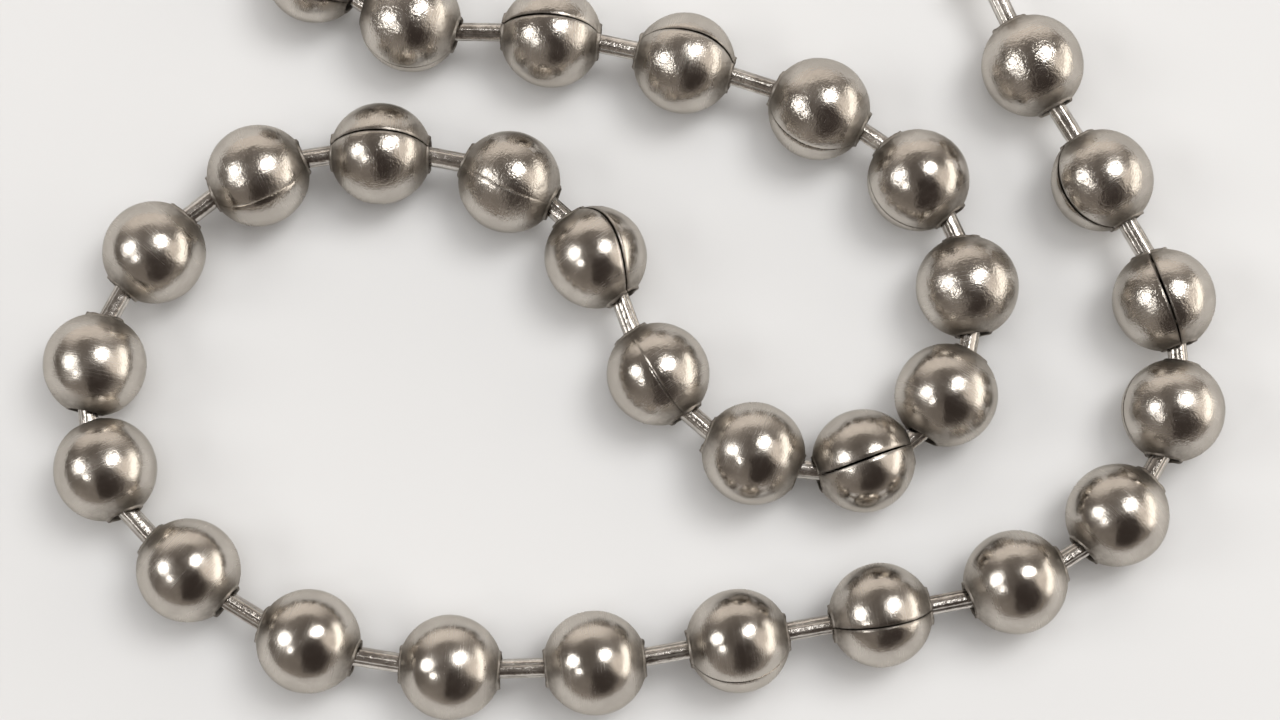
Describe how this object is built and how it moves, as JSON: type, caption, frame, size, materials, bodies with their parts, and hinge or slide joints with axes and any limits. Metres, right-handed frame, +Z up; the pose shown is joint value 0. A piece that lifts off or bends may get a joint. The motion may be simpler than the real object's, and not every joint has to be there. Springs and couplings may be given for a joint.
{
  "type": "ball chain",
  "caption": "Length of ball chain: hollow seamed metal balls joined by short headed wire links that tilt and slide in the balls' holes.",
  "frame": {"origin": "middle of the chain's footprint, on the surface the balls rest on", "axes": "+X along the longest extent of the chain as it lies, +Y across it, +Z up from the surface"},
  "size_m": [0.0366, 0.0252, 0.0032],
  "materials": {
    "ball_plating": "warm grey nickel plate on rolled steel strip, satin gloss, fine handling scratches",
    "link_plating": "warm grey nickel plate on steel wire, satin gloss, drawing lines along the wire"
  },
  "bodies": {
    "ball_01": {"ball_01": "ball_plating"},
    "ball_02": {"ball_02": "ball_plating"},
    "ball_03": {"ball_03": "ball_plating"},
    "ball_04": {"ball_04": "ball_plating"},
    "ball_05": {"ball_05": "ball_plating"},
    "ball_06": {"ball_06": "ball_plating"},
    "ball_07": {"ball_07": "ball_plating"},
    "ball_08": {"ball_08": "ball_plating"},
    "ball_09": {"ball_09": "ball_plating"},
    "ball_10": {"ball_10": "ball_plating"},
    "ball_11": {"ball_11": "ball_plating"},
    "ball_12": {"ball_12": "ball_plating"},
    "ball_13": {"ball_13": "ball_plating"},
    "ball_14": {"ball_14": "ball_plating"},
    "ball_15": {"ball_15": "ball_plating"},
    "ball_16": {"ball_16": "ball_plating"},
    "ball_17": {"ball_17": "ball_plating"},
    "ball_18": {"ball_18": "ball_plating"},
    "ball_19": {"ball_19": "ball_plating"},
    "ball_20": {"ball_20": "ball_plating"},
    "ball_21": {"ball_21": "ball_plating"},
    "ball_22": {"ball_22": "ball_plating"},
    "ball_23": {"ball_23": "ball_plating"},
    "ball_24": {"ball_24": "ball_plating"},
    "ball_25": {"ball_25": "ball_plating"},
    "ball_26": {"ball_26": "ball_plating"},
    "ball_27": {"ball_27": "ball_plating"},
    "ball_28": {"ball_28": "ball_plating"},
    "ball_29": {"ball_29": "ball_plating"},
    "ball_30": {"ball_30": "ball_plating"},
    "link_01": {"link_01": "link_plating"},
    "link_02": {"link_02": "link_plating"},
    "link_03": {"link_03": "link_plating"},
    "link_04": {"link_04": "link_plating"},
    "link_05": {"link_05": "link_plating"},
    "link_06": {"link_06": "link_plating"},
    "link_07": {"link_07": "link_plating"},
    "link_08": {"link_08": "link_plating"},
    "link_09": {"link_09": "link_plating"},
    "link_10": {"link_10": "link_plating"},
    "link_11": {"link_11": "link_plating"},
    "link_12": {"link_12": "link_plating"},
    "link_13": {"link_13": "link_plating"},
    "link_14": {"link_14": "link_plating"},
    "link_15": {"link_15": "link_plating"},
    "link_16": {"link_16": "link_plating"},
    "link_17": {"link_17": "link_plating"},
    "link_18": {"link_18": "link_plating"},
    "link_19": {"link_19": "link_plating"},
    "link_20": {"link_20": "link_plating"},
    "link_21": {"link_21": "link_plating"},
    "link_22": {"link_22": "link_plating"},
    "link_23": {"link_23": "link_plating"},
    "link_24": {"link_24": "link_plating"},
    "link_25": {"link_25": "link_plating"},
    "link_26": {"link_26": "link_plating"},
    "link_27": {"link_27": "link_plating"},
    "link_28": {"link_28": "link_plating"},
    "link_29": {"link_29": "link_plating"},
    "link_30": {"link_30": "link_plating"}
  },
  "joints": [
    {"name": "link_16_lift", "type": "hinge", "parent": "ball_16", "child": "link_16", "pos_m": [-0.01572, 0.00108, 0.0016], "axis": [-0.8829, 0.4695, 0], "range_deg": [-19, 19]},
    {"name": "link_15_lift", "type": "hinge", "parent": "ball_16", "child": "link_15", "pos_m": [-0.01424, 0.00284, 0.0016], "axis": [0.6157, -0.788, 0], "range_deg": [-19, 19]},
    {"name": "ball_17_lift", "type": "hinge", "parent": "link_16", "child": "ball_17", "pos_m": [-0.01654, -0.00047, 0.0016], "axis": [0.8829, -0.4695, 0], "range_deg": [-14, 14]},
    {"name": "ball_15_lift", "type": "hinge", "parent": "link_15", "child": "ball_15", "pos_m": [-0.01282, 0.00395, 0.0016], "axis": [-0.6157, 0.788, 0], "range_deg": [-17, 17]},
    {"name": "link_17_lift", "type": "hinge", "parent": "ball_17", "child": "link_17", "pos_m": [-0.01696, -0.00273, 0.0016], "axis": [0.9925, 0.1219, 0], "range_deg": [-14, 14]},
    {"name": "link_14_lift", "type": "hinge", "parent": "ball_15", "child": "link_14", "pos_m": [-0.01071, 0.00486, 0.0016], "axis": [-0.1564, 0.9877, 0], "range_deg": [-17, 17]},
    {"name": "ball_18_lift", "type": "hinge", "parent": "link_17", "child": "ball_18", "pos_m": [-0.01682, -0.00382, 0.0016], "axis": [-0.9925, -0.1219, 0], "range_deg": [-13.5, 13.5]},
    {"name": "ball_14_lift", "type": "hinge", "parent": "link_14", "child": "ball_14", "pos_m": [-0.00908, 0.00512, 0.0016], "axis": [0.1564, -0.9877, 0], "range_deg": [-20, 20]},
    {"name": "link_18_lift", "type": "hinge", "parent": "ball_18", "child": "link_18", "pos_m": [-0.01585, -0.00591, 0.0016], "axis": [-0.7314, -0.682, 0], "range_deg": [-13.5, 13.5]},
    {"name": "link_13_lift", "type": "hinge", "parent": "ball_14", "child": "link_13", "pos_m": [-0.00678, 0.00508, 0.0016], "axis": [-0.1908, -0.9816, 0], "range_deg": [-20, 20]},
    {"name": "ball_19_lift", "type": "hinge", "parent": "link_18", "child": "ball_19", "pos_m": [-0.01459, -0.00726, 0.0016], "axis": [0.7314, 0.682, 0], "range_deg": [-21, 21]},
    {"name": "ball_13_lift", "type": "hinge", "parent": "link_13", "child": "ball_13", "pos_m": [-0.00492, 0.00472, 0.0016], "axis": [0.1908, 0.9816, 0], "range_deg": [-16.5, 16.5]},
    {"name": "link_19_lift", "type": "hinge", "parent": "ball_19", "child": "link_19", "pos_m": [-0.0128, -0.00871, 0.0016], "axis": [0.515, 0.8572, 0], "range_deg": [-21, 21]},
    {"name": "link_12_lift", "type": "hinge", "parent": "ball_13", "child": "link_12", "pos_m": [-0.00286, 0.00369, 0.0016], "axis": [0.6691, 0.7431, 0], "range_deg": [-16.5, 16.5]},
    {"name": "ball_20_lift", "type": "hinge", "parent": "link_19", "child": "ball_20", "pos_m": [-0.01104, -0.00976, 0.0016], "axis": [-0.515, -0.8572, 0], "range_deg": [-19.5, 19.5]},
    {"name": "ball_12_lift", "type": "hinge", "parent": "link_12", "child": "ball_12", "pos_m": [-0.00182, 0.00276, 0.0016], "axis": [-0.6691, -0.7431, 0], "range_deg": [-17.5, 17.5]},
    {"name": "link_20_lift", "type": "hinge", "parent": "ball_20", "child": "link_20", "pos_m": [-0.00888, -0.01055, 0.0016], "axis": [-0.1564, -0.9877, 0], "range_deg": [-19.5, 19.5]},
    {"name": "link_11_lift", "type": "hinge", "parent": "ball_12", "child": "link_11", "pos_m": [-0.00053, 0.00085, 0.0016], "axis": [-0.9397, -0.342, 0], "range_deg": [-17.5, 17.5]},
    {"name": "ball_21_lift", "type": "hinge", "parent": "link_20", "child": "ball_21", "pos_m": [-0.00676, -0.01089, 0.0016], "axis": [0.1564, 0.9877, 0], "range_deg": [-21.5, 21.5]},
    {"name": "ball_11_lift", "type": "hinge", "parent": "link_11", "child": "ball_11", "pos_m": [0.00012, -0.00094, 0.0016], "axis": [0.9397, 0.342, 0], "range_deg": [-17, 17]},
    {"name": "link_21_lift", "type": "hinge", "parent": "ball_21", "child": "link_21", "pos_m": [-0.00446, -0.01103, 0.0016], "axis": [-0.0349, 0.9994, 0], "range_deg": [-21.5, 21.5]},
    {"name": "link_10_lift", "type": "hinge", "parent": "ball_11", "child": "link_10", "pos_m": [0.00142, -0.00283, 0.0016], "axis": [0.6561, 0.7547, 0], "range_deg": [-17, 17]},
    {"name": "ball_22_lift", "type": "hinge", "parent": "link_21", "child": "ball_22", "pos_m": [-0.00232, -0.01095, 0.0016], "axis": [0.0349, -0.9994, 0], "range_deg": [-22, 22]},
    {"name": "ball_10_lift", "type": "hinge", "parent": "link_10", "child": "ball_10", "pos_m": [0.00267, -0.00391, 0.0016], "axis": [-0.6561, -0.7547, 0], "range_deg": [-13.5, 13.5]},
    {"name": "link_22_lift", "type": "hinge", "parent": "ball_22", "child": "link_22", "pos_m": [-0.00003, -0.01071, 0.0016], "axis": [0.1736, -0.9848, 0], "range_deg": [-22, 22]},
    {"name": "link_09_lift", "type": "hinge", "parent": "ball_10", "child": "link_09", "pos_m": [0.00478, -0.00481, 0.0016], "axis": [-0.0872, -0.9962, 0], "range_deg": [-13.5, 13.5]},
    {"name": "ball_23_lift", "type": "hinge", "parent": "link_22", "child": "ball_23", "pos_m": [0.00209, -0.01034, 0.0016], "axis": [-0.1736, 0.9848, 0], "range_deg": [-22.5, 22.5]},
    {"name": "ball_09_lift", "type": "hinge", "parent": "link_09", "child": "ball_09", "pos_m": [0.00603, -0.00492, 0.0016], "axis": [0.0872, 0.9962, 0], "range_deg": [-4.5, 4.5]},
    {"name": "link_23_lift", "type": "hinge", "parent": "ball_23", "child": "link_23", "pos_m": [0.00435, -0.00994, 0.0016], "axis": [-0.1736, 0.9848, 0], "range_deg": [-22.5, 22.5]},
    {"name": "link_08_lift", "type": "hinge", "parent": "ball_09", "child": "link_08", "pos_m": [0.00823, -0.00425, 0.0016], "axis": [-0.6293, 0.7771, 0], "range_deg": [-4.5, 4.5]},
    {"name": "ball_24_lift", "type": "hinge", "parent": "link_23", "child": "ball_24", "pos_m": [0.00647, -0.00957, 0.0016], "axis": [0.1736, -0.9848, 0], "range_deg": [-22, 22]},
    {"name": "ball_08_lift", "type": "hinge", "parent": "link_08", "child": "ball_08", "pos_m": [0.00912, -0.00353, 0.0016], "axis": [0.6293, -0.7771, 0], "range_deg": [-10.5, 10.5]},
    {"name": "link_24_lift", "type": "hinge", "parent": "ball_24", "child": "link_24", "pos_m": [0.00873, -0.00915, 0.0016], "axis": [0.1908, -0.9816, 0], "range_deg": [-22, 22]},
    {"name": "link_07_lift", "type": "hinge", "parent": "ball_08", "child": "link_07", "pos_m": [0.01031, -0.00155, 0.0016], "axis": [0.9816, -0.1908, 0], "range_deg": [-10.5, 10.5]},
    {"name": "ball_25_lift", "type": "hinge", "parent": "link_24", "child": "ball_25", "pos_m": [0.0107, -0.00876, 0.0016], "axis": [-0.1908, 0.9816, 0], "range_deg": [-20, 20]},
    {"name": "ball_07_lift", "type": "hinge", "parent": "link_07", "child": "ball_07", "pos_m": [0.01056, -0.00028, 0.0016], "axis": [-0.9816, 0.1908, 0], "range_deg": [-14, 14]},
    {"name": "link_25_bend", "type": "hinge", "parent": "ball_25", "child": "link_25", "pos_m": [0.01284, -0.00792, 0.0016], "axis": [0, 0, -1], "range_deg": [-11.5, 33]},
    {"name": "link_06_lift", "type": "hinge", "parent": "ball_07", "child": "link_06", "pos_m": [0.01029, 0.00201, 0.0016], "axis": [-0.9135, -0.4067, 0], "range_deg": [-14, 14]},
    {"name": "ball_26_lift", "type": "hinge", "parent": "link_25", "child": "ball_26", "pos_m": [0.01415, -0.0071, 0.0016], "axis": [0.5299, -0.848, 0], "range_deg": [-17.5, 17.5]},
    {"name": "ball_06_lift", "type": "hinge", "parent": "link_06", "child": "ball_06", "pos_m": [0.00968, 0.00338, 0.0016], "axis": [0.9135, 0.4067, 0], "range_deg": [-16, 16]},
    {"name": "link_26_bend", "type": "hinge", "parent": "ball_26", "child": "link_26", "pos_m": [0.01575, -0.00545, 0.0016], "axis": [0, 0, 1], "range_deg": [-36, 8.5]},
    {"name": "link_05_lift", "type": "hinge", "parent": "ball_06", "child": "link_05", "pos_m": [0.00821, 0.00514, 0.0016], "axis": [0.5592, 0.829, 0], "range_deg": [-16, 16]},
    {"name": "ball_27_lift", "type": "hinge", "parent": "link_26", "child": "ball_27", "pos_m": [0.0165, -0.00415, 0.0016], "axis": [-0.866, 0.5, 0], "range_deg": [-14, 14]},
    {"name": "ball_05_lift", "type": "hinge", "parent": "link_05", "child": "ball_05", "pos_m": [0.00688, 0.00603, 0.0016], "axis": [-0.5592, -0.829, 0], "range_deg": [-21, 21]},
    {"name": "link_27_bend", "type": "hinge", "parent": "ball_27", "child": "link_27", "pos_m": [0.017, -0.0019, 0.0016], "axis": [0, 0, -1], "range_deg": [-4.5, 40]},
    {"name": "link_04_lift", "type": "hinge", "parent": "ball_05", "child": "link_04", "pos_m": [0.00481, 0.00704, 0.0016], "axis": [-0.309, -0.9511, 0], "range_deg": [-21, 21]},
    {"name": "ball_28_lift", "type": "hinge", "parent": "link_27", "child": "ball_28", "pos_m": [0.01689, -0.00066, 0.0016], "axis": [0.9962, 0.0872, 0], "range_deg": [-19, 19]},
    {"name": "ball_04_lift", "type": "hinge", "parent": "link_04", "child": "ball_04", "pos_m": [0.00272, 0.00772, 0.0016], "axis": [0.309, 0.9511, 0], "range_deg": [-22, 22]},
    {"name": "link_28_bend", "type": "hinge", "parent": "ball_28", "child": "link_28", "pos_m": [0.01622, 0.00154, 0.0016], "axis": [0, 0, 1], "range_deg": [-34, 10.5]},
    {"name": "link_03_lift", "type": "hinge", "parent": "ball_04", "child": "link_03", "pos_m": [0.0005, 0.00832, 0.0016], "axis": [0.2079, 0.9781, 0], "range_deg": [-22, 22]},
    {"name": "ball_29_lift", "type": "hinge", "parent": "link_28", "child": "ball_29", "pos_m": [0.01527, 0.00325, 0.0016], "axis": [-0.8746, -0.4848, 0], "range_deg": [-22, 22]},
    {"name": "ball_03_lift", "type": "hinge", "parent": "link_03", "child": "ball_03", "pos_m": [-0.00146, 0.00873, 0.0016], "axis": [-0.2079, -0.9781, 0], "range_deg": [-21.5, 21.5]},
    {"name": "link_29_bend", "type": "hinge", "parent": "ball_29", "child": "link_29", "pos_m": [0.01412, 0.00524, 0.0016], "axis": [0, 0, -1], "range_deg": [-21.5, 23]},
    {"name": "link_02_bend", "type": "hinge", "parent": "ball_03", "child": "link_02", "pos_m": [-0.00374, 0.00899, 0.0016], "axis": [0, 0, -1], "range_deg": [-17, 28]},
    {"name": "ball_30_lift", "type": "hinge", "parent": "link_29", "child": "ball_30", "pos_m": [0.01312, 0.00691, 0.0016], "axis": [0.8572, 0.515, 0], "range_deg": [-22, 22]},
    {"name": "ball_02_lift", "type": "hinge", "parent": "link_02", "child": "ball_02", "pos_m": [-0.00594, 0.00903, 0.0016], "axis": [0.0175, 0.9998, 0], "range_deg": [-16, 16]},
    {"name": "link_30_bend", "type": "hinge", "parent": "ball_30", "child": "link_30", "pos_m": [0.01205, 0.00895, 0.0016], "axis": [0, 0, 1], "range_deg": [-18.5, 26]},
    {"name": "link_01_bend", "type": "hinge", "parent": "ball_02", "child": "link_01", "pos_m": [-0.00814, 0.0097, 0.0016], "axis": [0, 0, 1], "range_deg": [-6.5, 38.5]},
    {"name": "ball_01_lift", "type": "hinge", "parent": "link_01", "child": "ball_01", "pos_m": [-0.00911, 0.01033, 0.0016], "axis": [-0.5446, -0.8387, 0], "range_deg": [-22.5, 22.5]}
  ]
}
